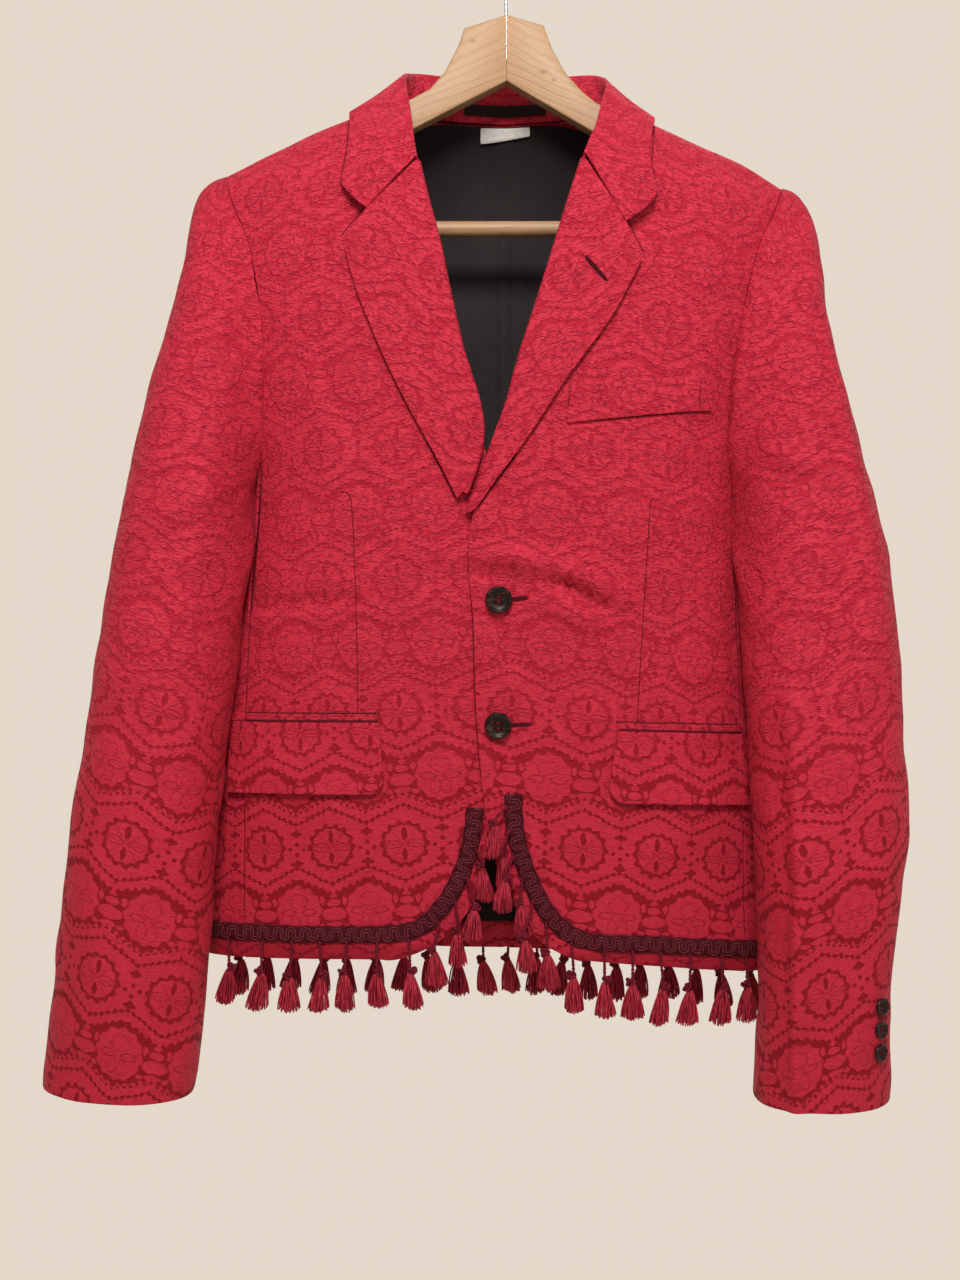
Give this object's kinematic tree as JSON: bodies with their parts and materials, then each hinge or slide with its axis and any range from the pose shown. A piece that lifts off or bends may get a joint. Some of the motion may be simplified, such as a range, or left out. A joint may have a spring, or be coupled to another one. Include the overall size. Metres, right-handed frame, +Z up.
{
  "type": "brocade blazer on a wooden hanger",
  "caption": "Short fitted blazer of figured crimson brocade with a notch collar, flap pockets and a dark tasselled braid along its hem, hung on a wooden hanger with a wire hook.",
  "frame": {"origin": "inside top of the hanger's wire hook, where a rail would touch it", "axes": "+Z up along the height of the garment, +X towards the viewer's right (the wearer's left), the fronts face -Y"},
  "size_m": [0.6165, 0.1555, 0.8796],
  "materials": {
    "brocade": "figured satin-weave brocade, matt ground with soft sheen",
    "trim": "dark gimp braid with silky tassels",
    "lining": "smooth black lining",
    "label": "woven tape, bare",
    "horn": "polished, near black",
    "wood": "clear satin lacquer on pale pine",
    "steel": "bright plated wire"
  },
  "bodies": {
    "root": {"back_left": "brocade", "back_right": "brocade", "button_bottom": "horn", "button_top": "horn", "chest_welt": "brocade", "collar": "brocade", "cuff_button_left_1": "horn", "cuff_button_left_2": "horn", "cuff_button_left_3": "horn", "cuff_button_right_1": "horn", "cuff_button_right_2": "horn", "cuff_button_right_3": "horn", "flap_left": "brocade", "flap_right": "brocade", "fringe_back": "trim", "fringe_left": "trim", "fringe_right": "trim", "front_left": "brocade", "front_right": "brocade", "hanger_bar": "wood", "hanger_hook": "steel", "hanger_left": "wood", "hanger_right": "wood", "jet_left": "brocade", "jet_right": "brocade", "lapel_left": "brocade", "lapel_right": "brocade", "lining_back": "lining", "neck_band": "lining", "side_left": "brocade", "side_right": "brocade", "size_label": "label", "sleeve_top_left": "brocade", "sleeve_top_right": "brocade", "sleeve_under_left": "brocade", "sleeve_under_right": "brocade"}
  },
  "joints": []
}
